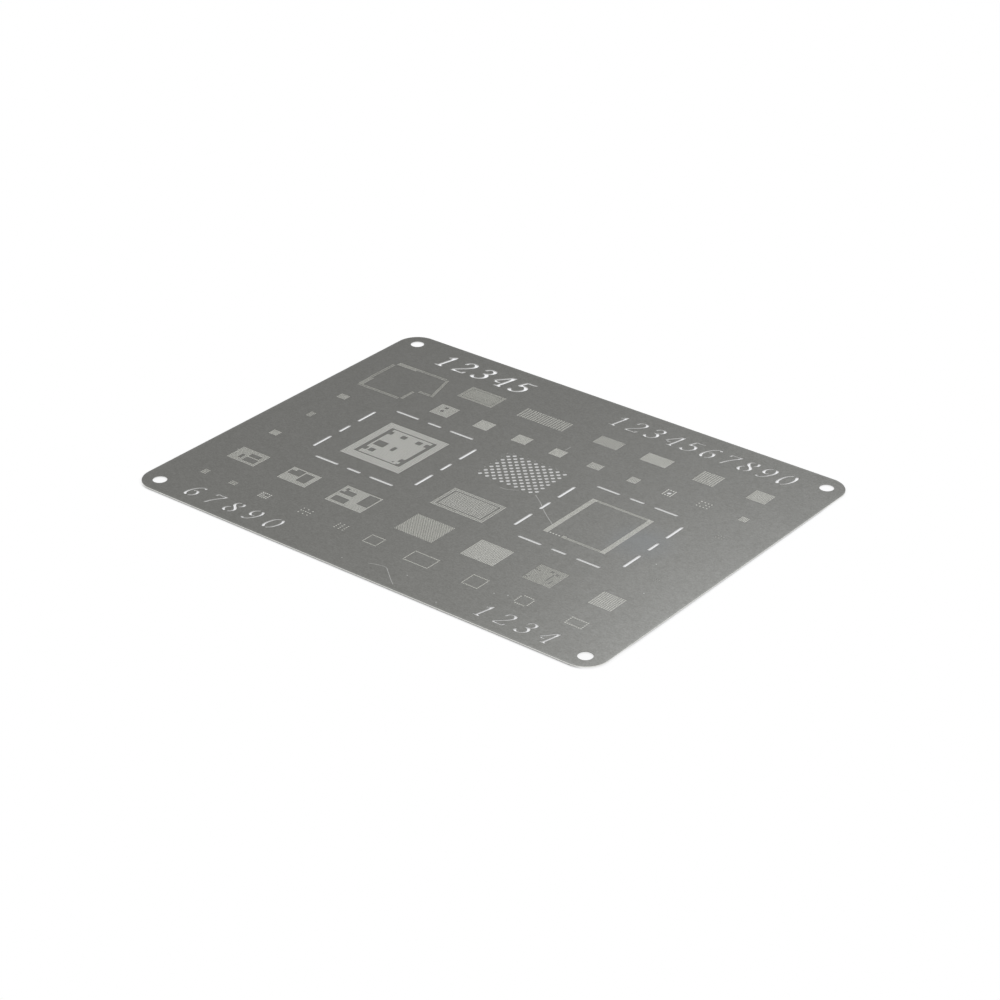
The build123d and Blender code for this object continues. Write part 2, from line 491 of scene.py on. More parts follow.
@dataclass(frozen=True)
class SmallFields:
    """The small fields in their rows and along the ends of the sheet."""

    back_row_y: float = 22.1
    second_row_y: float = 14.5
    fourth_row_y: float = -17.2
    front_row_y: float = -24.75

    def back_row(self) -> list[Field]:
        """The fields of the back row.

        Returns:
            The fields, from left to right.
        """
        y = self.back_row_y
        first = framed(-19.8, y, width=7.02, height=4.12, pitch=0.27, opening=(0.178, 0.178),
                       gap=(0.18, 0.18))
        return first + [
            Field(-6.85, y, 9.2, 2.98, 0.52, 0.33, pitch_y=0.3, opening_y=0.162),
            Field(6.05, y, 4.55, 2.61, 0.3, 0.206),
            Field(15.4, y - 0.08, 4.84, 2.72, 0.29, 0.217),
            Field(25.17, y - 0.08, 3.78, 3.52, 0.44, 0.3, pitch_y=0.3, opening_y=0.186),
            Field(34.75, y, 3.38, 3.08, 0.3, 0.213),
        ]

    def second_row(self) -> list[Field]:
        """The fields of the second row.

        Returns:
            The fields, from left to right.
        """
        y = self.second_row_y
        spots = (Patch(-22.15, 15.05, -21.45, 15.65), Patch(-22.1, 13.9, -21.4, 14.4))
        eye = (Patch(22.6, 14.0, 23.5, 15.0),)
        return [
            Field(-21.45, y, 3.6, 3.46, 0.3, 0.217, bare=spots),
            Field(-13.24, y, 2.82, 2.66, 0.28, 0.217),
            Field(-5.43, y - 0.14, 2.78, 2.35, 0.28, 0.216),
            Field(1.78, y - 0.14, 2.36, 2.14, 0.28, 0.215),
            Field(9.03, y - 0.08, 2.34, 1.64, 0.29, 0.214),
            Field(16.38, y - 0.05, 1.66, 1.66, 0.28, 0.215),
            Field(23.05, y, 1.68, 1.88, 0.42, 0.275, bare=eye),
            Field(23.05, y, 0.8, 0.8, 0.8, 0.8, shape=Opening.ROUND),
            Field(29.4, y + 0.2, 2.1, 1.65, 0.6, 0.25, pitch_y=0.66, opening_y=0.24,
                  bare=(Patch(28.8, 14.4, 29.4, 15.0),)),
            Field(36.62, y + 0.2, 1.32, 1.3, 0.29, 0.201),
        ]

    def end_columns(self) -> list[Field]:
        """The small fields along the left end, and the dots near the right one.

        Returns:
            The fields, from back to front on the left, then on the right.
        """
        return [
            Field(-37.7, 8.12, 1.72, 1.38, 0.29, 0.202),
            Field(-37.62, 0.12, 0.94, 1.5, 0.3, 0.18),
            Field(-37.73, -8.28, 1.55, 1.38, 0.29, 0.201),
            Field(36.85, 8.0, 1.2, 0.8, 0.6, 0.13),
            Field(36.8, -8.2, 0.8, 0.5, 0.4, 0.08),
        ]

    def fourth_row(self) -> list[Field]:
        """The fields of the fourth row, with their solid islands.

        Returns:
            The fields, from left to right.
        """
        y = self.fourth_row_y
        first = (
            Patch(-35.62, -16.67, -33.38, -15.71),
            Patch(-36.86, -18.11, -36.06, -16.89),
            Patch(-35.61, -18.5, -33.07, -17.19),
        )
        second = (
            Patch(-27.14, -17.13, -24.96, -15.71),
            Patch(-26.25, -15.8, -24.96, -15.33),
            Patch(-24.46, -18.31, -22.68, -15.4),
        )
        third = (
            Patch(-16.01, -16.73, -14.15, -15.48),
            Patch(-16.62, -16.73, -16.01, -16.09),
            Patch(-16.3, -15.5, -15.9, -15.0),
            Patch(-12.28, -17.95, -10.19, -14.82),
            Patch(-16.28, -19.12, -13.76, -17.8),
        )
        specks = (
            Patch(21.0, -16.6, 21.4, -16.2),
            Patch(21.7, -16.6, 22.12, -16.2),
            Patch(23.5, -15.9, 23.85, -15.6),
            Patch(24.17, -18.2, 24.5, -16.2),
            Patch(24.4, -16.2, 24.95, -15.65),
            Patch(24.9, -18.9, 25.25, -17.7),
            Patch(20.7, -19.2, 21.45, -18.75),
            Patch(21.47, -18.85, 21.82, -18.45),
        )
        return [
            Field(-35.45, y + 0.25, 5.64, 3.93, 0.3, 0.207, bare=first),
            Field(-24.67, y + 0.19, 5.66, 4.07, 0.3, 0.217, bare=second),
            Field(-13.42, y + 0.1, 7.13, 5.38, 0.3, 0.219, bare=third),
            Staggered(0.76, y - 0.08, 7.2, 5.6, 0.36, 0.174),
            Field(12.67, y - 0.03, 6.05, 5.18, 0.3, 0.218),
            Field(23.52, y - 0.07, 5.06, 4.6, 0.27, 0.168, bare=specks),
            Field(34.74, y - 0.21, 4.0, 3.88, 0.39, 0.26, pitch_y=0.3, opening_y=0.203),
        ]

    def front_row(self) -> list[Field]:
        """The fields of the front row.

        Returns:
            The small blocks, dots and lines, then the lines round the four bare rectangles.
        """
        y = self.front_row_y
        gap = (Patch(-24.95, -24.6, -24.4, -24.2),)
        blocks = [
            Field(-37.36, y + 0.08, 1.0, 1.22, 0.3, 0.19),
            Field(-31.35, y, 1.28, 0.92, 0.3, 0.186),
            Field(-24.85, y + 0.04, 1.86, 1.5, 0.42, 0.25, bare=gap),
            Field(-16.55, y + 0.15, 1.98, 1.6, 0.87, 0.22, pitch_y=0.7),
            Field(-16.55, y + 0.15, 1.1, 0.2, 0.87, 0.2),
            Field(-9.28, y + 0.05, 1.86, 1.6, 0.8, 0.22, pitch_y=0.45, opening_y=0.2),
            Field(25.36, y + 1.25, 1.7, 0.2, 0.33, 0.24, opening_y=0.2),
            Field(25.36, y - 1.05, 1.7, 0.2, 0.33, 0.24, opening_y=0.2),
            Field(24.2, y + 0.1, 0.2, 1.7, 0.33, 0.2, opening_y=0.24),
            Field(26.5, y + 0.1, 0.2, 1.7, 0.33, 0.2, opening_y=0.24),
        ]
        rectangles = (
            (-2.77, y - 0.05, 2.64, 2.44, 0.3, 0.26, 0.14),
            (6.39, y - 0.07, 4.7, 3.03, 0.3, 0.26, 0.145),
            (16.53, y - 0.04, 2.98, 2.97, 0.3, 0.25, 0.145),
            (34.85, y - 0.05, 3.03, 2.0, 0.4, 0.28, 0.205),
        )
        return blocks + [line for sizes in rectangles for line in lines_round(*sizes)]

    def fields(self) -> list[Field]:
        """All of the small fields."""
        return (self.back_row() + self.second_row() + self.end_columns() + self.fourth_row()
                + self.front_row())


@dataclass(frozen=True)
class ReliefSlots:
    """The relief slots round a big field, a short slot between two long ones on each side."""

    x: float
    y: float
    field_width: float
    field_height: float
    slot_width: float = 0.56
    short_slot: float = 2.8
    bridge: float = 1.8
    off_x: float = 4.4
    off_y: float = 3.6
    past_x: float = 1.9
    past_y: float = 1.35
    end_sides: int = 10

    def slot(self, x: float, y: float, length: float, upright: bool) -> Outline:
        """The outline of one round-ended slot.

        Args:
            x: Centre along the sheet.
            y: Centre across the sheet.
            length: Length over the round ends.
            upright: Whether the slot runs across the sheet.

        Returns:
            The outline, anticlockwise.
        """
        radius = self.slot_width / 2
        reach = length / 2 - radius
        points = []
        for end in (1, -1):
            for i in range(self.end_sides + 1):
                angle = math.pi * (i / self.end_sides - 0.5)
                points.append((end * (reach + radius * math.cos(angle)),
                               end * radius * math.sin(angle)))
        if upright:
            points = [(-b, a) for a, b in points]
        return [(x + a, y + b) for a, b in points]

    def row(self, length: float) -> list[tuple[float, float]]:
        """Lays out a row of three slots.

        Args:
            length: The length of the row.

        Returns:
            For each slot, its place along the row and its length.
        """
        long_slot = (length - self.short_slot) / 2 - self.bridge
        reach = (length - long_slot) / 2
        return [(-reach, long_slot), (0.0, self.short_slot), (reach, long_slot)]

    def outlines(self) -> list[Outline]:
        """The outlines of all twelve slots.

        Returns:
            Those at the front and on the left, then those at the back and on the right.
        """
        away_x = self.field_width / 2 + self.off_x
        away_y = self.field_height / 2 + self.off_y
        found = []
        for side in (-1, 1):
            for at, length in self.row(self.field_width + 2 * self.past_x):
                found.append(self.slot(self.x + at, self.y + side * away_y, length, False))
            for at, length in self.row(self.field_height + 2 * self.past_y):
                found.append(self.slot(self.x + side * away_x, self.y + at, length, True))
        return found


def smooth_line(points: Sequence[Point], steps: int) -> list[Point]:
    """A smooth line through some points.

    Args:
        points: The points that the line passes through.
        steps: Pieces of line between one point and the next.

    Returns:
        Points along the line, close together.
    """
    ends = [points[0], *points, points[-1]]
    line = []
    for before, start, end, after in zip(ends, ends[1:], ends[2:], ends[3:]):
        for i in range(steps):
            t = i / steps
            weights = (
                -0.5 * t + t * t - 0.5 * t**3,
                1 - 2.5 * t * t + 1.5 * t**3,
                0.5 * t + 2 * t * t - 1.5 * t**3,
                -0.5 * t * t + 0.5 * t**3,
            )
            four = (before, start, end, after)
            line.append((sum(w * p[0] for w, p in zip(weights, four)),
                         sum(w * p[1] for w, p in zip(weights, four))))
    return [*line, points[-1]]


def ribbon(line: Sequence[Point], width: Callable[[float], float]) -> Outline:
    """The outline of a stroke that follows a line.

    Args:
        line: The middle of the stroke.
        width: The stroke's width for a line's rise, from 0 where it runs level to 1 upright.

    Returns:
        The outline, with a pointed end at each end of the line.
    """
    left, right, tips = [], [], []
    last = len(line) - 1
    for i, here in enumerate(line):
        before, after = line[max(0, i - 1)], line[min(last, i + 1)]
        run, rise = after[0] - before[0], after[1] - before[1]
        length = math.hypot(run, rise)
        half = width(abs(rise) / length) / 2
        off = (-rise / length * half, run / length * half)
        left.append((here[0] + off[0], here[1] + off[1]))
        right.append((here[0] - off[0], here[1] - off[1]))
        if i in (0, last):
            way = -1 if i == 0 else 1
            tips.append((here[0] + way * run / length * half * TIP,
                         here[1] + way * rise / length * half * TIP))
    return [tips[0], *right, tips[1], *reversed(left)]


@dataclass(frozen=True)
class Numerals:
    """A run of plain numerals cut through the sheet, with bridges that hold their middles."""

    text: str
    left: float
    right: float
    base: float
    cap_height: float
    slant: float = 0.24
    thick: float = 0.135
    thin: float = 0.085
    cell: float = 0.66
    steps: int = 4

    def strokes(self, numeral: str) -> list[list[Point]]:
        """The middle lines of a numeral's strokes, on a height of 1.

        Args:
            numeral: One of the numerals 0 to 9.

        Returns:
            Each stroke's points, which stop short where a bridge is left.
        """
        turned_width = 0.64
        six = [
            [(0.56, 0.9), (0.42, 0.97), (0.24, 0.86), (0.12, 0.62), (0.08, 0.36), (0.14, 0.12),
             (0.27, 0.03)],
            [(0.42, 0.03), (0.55, 0.14), (0.59, 0.32), (0.51, 0.5), (0.38, 0.56), (0.26, 0.5)],
        ]
        shapes = {
            "0": [
                [(0.27, 0.97), (0.12, 0.8), (0.07, 0.5), (0.12, 0.2), (0.25, 0.03)],
                [(0.43, 0.97), (0.56, 0.8), (0.61, 0.5), (0.56, 0.2), (0.41, 0.03)],
            ],
            "1": [
                [(0.16, 0.8), (0.27, 0.88), (0.37, 0.98)],
                [(0.38, 0.96), (0.38, 0.5), (0.38, 0.05)],
                [(0.2, 0.02), (0.38, 0.02), (0.56, 0.02)],
            ],
            "2": [
                [(0.12, 0.74), (0.16, 0.9), (0.33, 0.98), (0.52, 0.9), (0.56, 0.72), (0.46, 0.5),
                 (0.26, 0.27), (0.1, 0.08)],
                [(0.08, 0.03), (0.35, 0.04), (0.6, 0.03)],
                [(0.6, 0.03), (0.64, 0.16)],
            ],
            "3": [
                [(0.12, 0.8), (0.2, 0.94), (0.35, 0.98), (0.52, 0.88), (0.52, 0.68), (0.38, 0.56),
                 (0.26, 0.54)],
                [(0.28, 0.53), (0.48, 0.48), (0.58, 0.3), (0.5, 0.1), (0.3, 0.02), (0.13, 0.07),
                 (0.07, 0.19)],
            ],
            "4": [
                [(0.42, 0.94), (0.26, 0.66), (0.07, 0.36)],
                [(0.14, 0.29), (0.26, 0.29), (0.38, 0.29)],
                [(0.52, 0.97), (0.52, 0.5), (0.52, 0.03)],
                [(0.36, 0.02), (0.52, 0.02), (0.66, 0.02)],
            ],
            "5": [
                [(0.2, 0.95), (0.42, 0.94), (0.62, 0.97)],
                [(0.19, 0.95), (0.15, 0.75), (0.12, 0.57)],
                [(0.13, 0.56), (0.32, 0.62), (0.52, 0.52), (0.58, 0.32), (0.48, 0.1), (0.28, 0.02),
                 (0.12, 0.06), (0.06, 0.17)],
            ],
            "6": six,
            "7": [
                [(0.1, 0.8), (0.12, 0.94)],
                [(0.12, 0.94), (0.35, 0.93), (0.62, 0.96)],
                [(0.61, 0.94), (0.44, 0.62), (0.32, 0.32), (0.27, 0.02)],
            ],
            "8": [
                [(0.28, 0.97), (0.17, 0.9), (0.14, 0.76), (0.24, 0.62), (0.42, 0.5), (0.56, 0.36),
                 (0.57, 0.18), (0.46, 0.05)],
                [(0.29, 0.03), (0.14, 0.1), (0.08, 0.26), (0.13, 0.39), (0.2, 0.45)],
                [(0.43, 0.97), (0.54, 0.9), (0.56, 0.76), (0.48, 0.65)],
            ],
            "9": [[(turned_width - x, 1 - y) for x, y in stroke] for stroke in six],
        }
        return shapes[numeral]

    def stroke_width(self, rise: float) -> float:
        """The width of a stroke on a height of 1, thick where it is upright."""
        return self.thin + (self.thick - self.thin) * rise

    def outlines(self) -> list[Outline]:
        """The outlines of every stroke of the run.

        Returns:
            The outlines in place on the sheet, numeral by numeral.
        """
        advance = (self.right - self.left) / len(self.text)
        scale = self.cap_height
        inset = (advance - self.cell * scale) / 2 - self.slant * scale / 2
        found = []
        for place, numeral in enumerate(self.text):
            origin = self.left + place * advance + inset
            for stroke in self.strokes(numeral):
                shape = ribbon(smooth_line(stroke, self.steps), self.stroke_width)
                found.append([
                    (origin + (x + self.slant * y) * scale, self.base + y * scale)
                    for x, y in shape
                ])
        return found


@dataclass(frozen=True)
class Scratches:
    """The fine bright scratches and nicks of use on the top face."""

    width: float = 0.075
    nick: float = 0.22
    nick_sides: int = 6
    steps: int = 5

    def lines(self) -> list[list[Point]]:
        """The middle lines of the scratches.

        Returns:
            Each scratch's points.
        """
        return [
            [(1.6, -0.2), (2.9, -0.1), (4.5, 0.85)],
            [(7.45, 1.2), (8.9, 0.2), (9.85, -0.55), (11.3, -1.8), (13.1, -3.15), (15.2, -4.6)],
            [(0.93, -30.44), (2.24, -29.95), (3.74, -29.72), (5.14, -30.77), (6.72, -32.07),
             (7.78, -32.86)],
            [(2.09, 17.3), (2.15, 16.5), (2.05, 15.75)],
            [(-38.7, -15.9), (-38.1, -16.6), (-37.9, -17.2)],
        ]

    def nicks(self) -> list[Point]:
        """The places of the small nicks."""
        return [(-3.12, -31.6), (7.7, -29.57), (15.77, -32.8), (20.7, -25.7), (22.6, -24.9),
                (34.08, -4.43), (37.5, -12.3)]

    def outlines(self) -> list[Outline]:
        """The outlines of every scratch and nick.

        Returns:
            The scratches, then the nicks.
        """
        strokes = [
            ribbon(smooth_line(line, self.steps), lambda rise: self.width) for line in self.lines()
        ]
        spots = [
            Aperture(x, y, self.nick, self.nick, Opening.ROUND,
                     round_sides=self.nick_sides).outline()
            for x, y in self.nicks()
        ]
        return strokes + spots


class SheetCutter:
    """Lays out one flat sheet with cutouts and marks, and makes its mesh."""

    def __init__(self, blank: Outline, thickness: float) -> None:
        """Starts a sheet.

        Args:
            blank: The outline of the sheet in millimetres, anticlockwise.
            thickness: Thickness of the sheet in millimetres.
        """
        self.outlines: list[Outline] = [blank]
        self.fine: set[int] = {0}
        self.marks: set[int] = set()
        self.thickness = thickness

    def cut(self, outline: Outline, fine: bool = False) -> None:
        """Cuts an outline out of the sheet.

        Args:
            outline: The outline in millimetres.
            fine: Whether its walls are the bright ones of a fine cut, and not the darker ones with
                painted shade.
        """
        if fine:
            self.fine.add(len(self.outlines))
        self.outlines.append(outline)

    def mark(self, outline: Outline) -> None:
        """Marks an outline on the top face."""
        self.marks.add(len(self.outlines))
        self.outlines.append(outline)

    def triangles(self) -> tuple[list[Vector], list[tuple[int, int, int]], list[bool], set[int]]:
        """Triangulates the sheet's face.

        Returns:
            The points, the triangles that are steel, for each whether it is marked, and the
            points that lie on a fine cut.
        """
        points = [Vector(point) for outline in self.outlines for point in outline]
        faces, first = [], 0
        for outline in self.outlines:
            faces.append(list(range(first, first + len(outline))))
            first += len(outline)
        places, _, found, sources, _, origins = delaunay_2d_cdt(
            points, [], faces, INSIDE_ONLY, SAME_POINT, True)
        owner = [number for number, outline in enumerate(self.outlines) for _ in outline]
        on_fine_cut = {
            place for place, given in enumerate(sources)
            if any(owner[point] in self.fine for point in given)
        }
        steel, marked = [], []
        for triangle, origin in zip(found, origins):
            within = set(origin) - {0}
            if 0 in origin and within <= self.marks:
                steel.append(tuple(triangle))
                marked.append(bool(within))
        return places, steel, marked, on_fine_cut

    def mesh(self, name: str) -> bpy.types.Mesh:
        """Makes the sheet's mesh.

        Args:
            name: The mesh's name.

        Returns:
            The mesh in metres: top and bottom faces, and the walls of every cutout.
        """
        places, steel, marked, on_fine_cut = self.triangles()
        edges = [edge for a, b, c in steel for edge in ((a, b), (b, c), (c, a))]
        shared = Counter(tuple(sorted(edge)) for edge in edges)
        rim = [edge for edge in edges if shared[tuple(sorted(edge))] == 1]
        used = sorted({corner for triangle in steel for corner in triangle})
        index = {corner: i for i, corner in enumerate(used)}
        count = len(used)
        vertices = [
            (places[i].x * MM, places[i].y * MM, height * MM)
            for height in (self.thickness, 0.0)
            for i in used
        ]
        upper = [tuple(index[i] for i in triangle) for triangle in steel]
        lower = [tuple(count + i for i in reversed(triangle)) for triangle in upper]
        walls = [(count + index[a], count + index[b], index[b], index[a]) for a, b in rim]
        made = bpy.data.meshes.new(name)
        made.from_pydata(vertices, [], upper + lower + walls)
        burnished, rolled = SheetFinish.BURNISHED.value, SheetFinish.ROLLED.value
        slots = [burnished if mark else rolled for mark in marked]
        slots += [rolled] * len(lower)
        # Walls of the fine cuts and of the outline are bright cut steel; the others get its darker
        # copy, which is painted shade.
        fine, painted_shade_walls = SheetFinish.CUT.value, SheetFinish.PAINTED_SHADE.value
        slots += [fine if {a, b} & on_fine_cut else painted_shade_walls for a, b in rim]
        made.polygons.foreach_set("material_index", slots)
        self.lay_out_map(made, len(upper), len(lower))
        made.update()
        return made

    def lay_out_map(self, made: bpy.types.Mesh, tops: int, bottoms: int) -> None:
        """Lays out the map that the finishes are baked through.

        The top lies below the bottom, and the walls fill a grid of small squares beside them.

        Args:
            made: The mesh, with its top faces first, then its bottom ones, then its walls.
            tops: The number of top faces.
            bottoms: The number of bottom faces.
        """
        blank = self.outlines[0]
        half_x = max(x for x, _ in blank) * MM
        half_y = max(y for _, y in blank) * MM
        margin = 0.01
        scale = (1 - 3 * margin) / (4 * half_y)
        walls = len(made.polygons) - tops - bottoms
        strip = 2 * margin + 2 * half_x * scale
        columns = max(1, math.ceil(math.sqrt(walls * (1 - margin - strip))))
        cell = (1 - margin - strip) / columns
        layer = made.uv_layers.new(name="OFBake")
        corners = []
        for face in made.polygons:
            if face.index < tops + bottoms:
                lift = margin if face.index < tops else 2 * margin + 2 * half_y * scale
                for vertex in face.vertices:
                    place = made.vertices[vertex].co
                    corners += [margin + (place.x + half_x) * scale,
                                lift + (place.y + half_y) * scale]
            else:
                row, column = divmod(face.index - tops - bottoms, columns)
                u, v = strip + column * cell, row * cell
                corners += [u, v, u + cell, v, u + cell, v + cell, u, v + cell]
        layer.data.foreach_set("uv", corners)


class Signal:
    """An output in a material, on which plain arithmetic adds Math nodes."""

    def __init__(self, bench: "ShaderBench", socket: bpy.types.NodeSocket) -> None:
        """Wraps an output.

        Args:
            bench: The material it belongs to.
            socket: The output.
        """
        self.bench = bench
        self.socket = socket

    def __add__(self, other: "Signal | float") -> "Signal":
        """This plus another."""
        return self.bench.math("ADD", self, other)

    __radd__ = __add__

    def __mul__(self, other: "Signal | float") -> "Signal":
        """This times another."""
        return self.bench.math("MULTIPLY", self, other)

    def __sub__(self, other: "Signal | float") -> "Signal":
        """This less another."""
        return self.bench.math("SUBTRACT", self, other)

    def __rsub__(self, other: float) -> "Signal":
        """A number less this."""
        return self.bench.math("SUBTRACT", other, self)

    def __truediv__(self, other: "Signal | float") -> "Signal":
        """This divided by another."""
        return self.bench.math("DIVIDE", self, other)

    def __abs__(self) -> "Signal":
        """This without its sign."""
        return self.bench.math("ABSOLUTE", self)


class ShaderBench:
    """Builds one material, or the surround, from nodes."""

    def __init__(self, owner: bpy.types.Material | bpy.types.World) -> None:
        """Starts with no nodes.

        Args:
            owner: The material or surround that the nodes are for.
        """
        self.owner = owner
        owner.use_nodes = True
        self.tree = owner.node_tree
        self.tree.nodes.clear()

    def node(self, kind: str, settings: dict[str, object] | None = None,
             sockets: dict[str | int, object] | None = None) -> bpy.types.Node:
        """Adds one node.

        Args:
            kind: The node's type, such as ShaderNodeTexNoise.
            settings: Its own settings, set first.
            sockets: Values or links of its inputs, by name or number.

        Returns:
            The node.
        """
        made = self.tree.nodes.new(kind)
        for name, value in (settings or {}).items():
            setattr(made, name, value)
        for name, value in (sockets or {}).items():
            socket = made.inputs[name]
            if isinstance(value, Signal):
                self.tree.links.new(value.socket, socket)
            else:
                socket.default_value = value
        return made

    def signal(self, kind: str, settings: dict[str, object] | None = None,
               sockets: dict[str | int, object] | None = None,
               output: str | int = 0) -> Signal:
        """Adds one node and gives one of its outputs.

        Args:
            kind: The node's type.
            settings: Its own settings.
            sockets: Values or links of its inputs.
            output: The output, by name or number.

        Returns:
            The output.
        """
        return Signal(self, self.node(kind, settings, sockets).outputs[output])

    def math(self, operation: str, *values: Signal | float, clamp: bool = False) -> Signal:
        """Adds one Math node.

        Args:
            operation: The node's operation.
            values: Its inputs, in order.
            clamp: Whether the result is kept between 0 and 1.

        Returns:
            The result.
        """
        settings = {"operation": operation, "use_clamp": clamp}
        return self.signal("ShaderNodeMath", settings, dict(enumerate(values)))

    def blend(self, factor: Signal | float, first: Signal | Colour,
              second: Signal | Colour) -> Signal:
        """Mixes two colours.

        Args:
            factor: The share of the second colour.
            first: The colour at factor 0.
            second: The colour at factor 1.

        Returns:
            The mixed colour.
        """
        first, second = (
            colour if isinstance(colour, Signal) else (*colour, 1.0) for colour in (first, second)
        )
        # The colours of this node go by number, as its numbers and vectors have the same names
        sockets = {0: factor, 6: first, 7: second}
        return self.signal("ShaderNodeMix", {"data_type": "RGBA"}, sockets, 2)

    def place(self) -> Signal:
        """The place on the object, in metres."""
        return self.signal("ShaderNodeTexCoord", output="Object")

    def axes(self, vector: Signal, *names: str) -> list[Signal]:
        """The named parts of a vector, X, Y or Z."""
        split = self.node("ShaderNodeSeparateXYZ", sockets={"Vector": vector})
        return [Signal(self, split.outputs[name]) for name in names]

    def noise(self, place: Signal, scale: float, detail: float = 2.0,
              roughness: float = 0.5) -> Signal:
        """A noise from 0 to 1.

        Args:
            place: The coordinates it is drawn on.
            scale: Its features for each unit of the coordinates.
            detail: Its finer layers.
            roughness: How strong those layers are.

        Returns:
            The noise.
        """
        sockets = {"Vector": place, "Scale": scale, "Detail": detail, "Roughness": roughness}
        return self.signal("ShaderNodeTexNoise", sockets=sockets, output="Fac")

    def stretched(self, place: Signal, stretch: Place, turn: float = 0.0) -> Signal:
        """Coordinates turned about the third axis after each is stretched.

        Args:
            place: The coordinates.
            stretch: What each is multiplied by.
            turn: The turn in radians.

        Returns:
            The new coordinates.
        """
        settings = {"vector_type": "POINT"}
        sockets = {"Vector": place, "Rotation": (0.0, 0.0, turn), "Scale": stretch}
        return self.signal("ShaderNodeMapping", settings, sockets)

    def soft_spot(self, place: Signal, centre: Place, radius: float,
                  rounding: float = 0.3) -> Signal:
        """A round spot, full at its centre and soft towards its edge.

        Args:
            place: The coordinates it is drawn on, in metres.
            centre: Its centre.
            radius: Its radius.
            rounding: How softly the full middle goes over into the fading edge.

        Returns:
            About 1 in the middle and 0 from its radius outwards.
        """
        distance = self.signal("ShaderNodeVectorMath", {"operation": "DISTANCE"},
                               {0: place, 1: centre}, "Value")
        fade = self.math("SUBTRACT", 1.0, distance / radius, clamp=True)
        return self.math("SMOOTH_MIN", fade * fade * 2.0, 1.0, rounding)

    def rays(self) -> list[Signal]:
        """1 for what the camera sees straight away, and 1 for what a shiny surface mirrors."""
        path = self.node("ShaderNodeLightPath")
        return [Signal(self, path.outputs[name]) for name in ("Is Camera Ray", "Is Glossy Ray")]

    def relief(self, height: Signal, depth: float) -> Signal:
        """A fine relief of this height, where 1 stands for this depth in metres."""
        sockets = {"Strength": 1.0, "Distance": depth, "Height": height}
        return self.signal("ShaderNodeBump", sockets=sockets)

    def metal(self, colour: Signal, roughness: Signal, relief: Signal | None = None) -> Signal:
        """A bare metal surface.

        Args:
            colour: Its colour.
            roughness: Its roughness, from 0 to 1.
            relief: Its fine relief, where it has one.

        Returns:
            The surface.
        """
        sockets = {"Base Color": colour, "Metallic": 1.0, "Roughness": roughness}
        if relief is not None:
            sockets["Normal"] = relief
        return self.signal("ShaderNodeBsdfPrincipled", sockets=sockets)

    def finish(self, surface: Signal,
               output: str = "ShaderNodeOutputMaterial") -> bpy.types.Material | bpy.types.World:
        """Ends the nodes with this surface, and gives what they belong to."""
        self.node(output, sockets={"Surface": surface})
        return self.owner


@dataclass(frozen=True)
class RolledSteel:
    """The matt rolled face: a fine streaked grain, faint clouds, one smear and a painted highlight
    along its outer edge.
    """

    name: str = "rolled_steel"
    dark: Colour = (0.147, 0.1466, 0.1355)
    light: Colour = (0.194, 0.1936, 0.1825)
    painted_rim_highlight: Colour = (0.22, 0.22, 0.21)
    smear: Colour = (0.178, 0.189, 0.196)
    cloud_size: float = 0.006
    mottle_size: float = 0.0013
    grain_length: float = 0.0009
    grain_width: float = 0.00022
    grain_turn: float = 0.12
    grain_depth: float = 0.000004
    cloud_weight: float = 0.3
    mottle_weight: float = 0.6
    streak_weight: float = 1.2
    speckle_weight: float = 1.8
    streak_height: float = 0.6
    speckle_height: float = 0.4
    roughness: float = 0.3
    cloud_roughness: float = 0.02
    streak_roughness: float = 0.05
    smear_place: Place = (0.0285, -0.0007, 0.0)
    smear_radius: float = 0.0075
    smear_share: float = 0.5
    smear_evenness: float = 0.4
    rim_highlight_reach: float = 0.0005
    rim_highlight_evenness: float = 0.1
    half_length: float = LENGTH / 2 * MM
    half_width: float = WIDTH / 2 * MM

    def material(self) -> bpy.types.Material:
        """Builds the finish.

        Returns:
            The material.
        """
        bench = ShaderBench(bpy.data.materials.new(self.name))
        place = bench.place()
        clouds = bench.noise(place, 1 / self.cloud_size, 3.0, 0.6)
        mottle = bench.noise(place, 1 / self.mottle_size, 2.0, 0.6)
        drawn_out = bench.stretched(place, (1 / self.grain_length, 1 / self.grain_width, 1.0),
                                    self.grain_turn)
        streaks = bench.noise(drawn_out, 1.0, 2.0, 0.6)
        speckle = bench.noise(place, 1 / self.grain_width, 1.0, 0.5)
        grain = ((clouds - 0.5) * self.cloud_weight + (mottle - 0.5) * self.mottle_weight
                 + (streaks - 0.5) * self.streak_weight + (speckle - 0.5) * self.speckle_weight)
        colour = bench.blend(bench.math("ADD", 0.5, grain, clamp=True), self.dark, self.light)
        smear = bench.soft_spot(place, self.smear_place, self.smear_radius)
        smear = smear * (clouds + self.smear_evenness) * self.smear_share
        colour = bench.blend(smear, colour, self.smear)
        # Painted highlight: the face turns lighter and streaky in a narrow band along the outline.
        along, across = (abs(axis) for axis in bench.axes(place, "X", "Y"))
        inward = bench.math("MINIMUM", self.half_length - along, self.half_width - across)
        edge = bench.math("SUBTRACT", 1.0, inward / self.rim_highlight_reach, clamp=True)
        colour = bench.blend(edge * (streaks + self.rim_highlight_evenness), colour, self.painted_rim_highlight)
        roughness = (self.roughness + (clouds - 0.5) * self.cloud_roughness
                     + (streaks - 0.5) * self.streak_roughness)
        height = streaks * self.streak_height + speckle * self.speckle_height
        relief = bench.relief(height, self.grain_depth)
        return bench.finish(bench.metal(colour, roughness, relief))


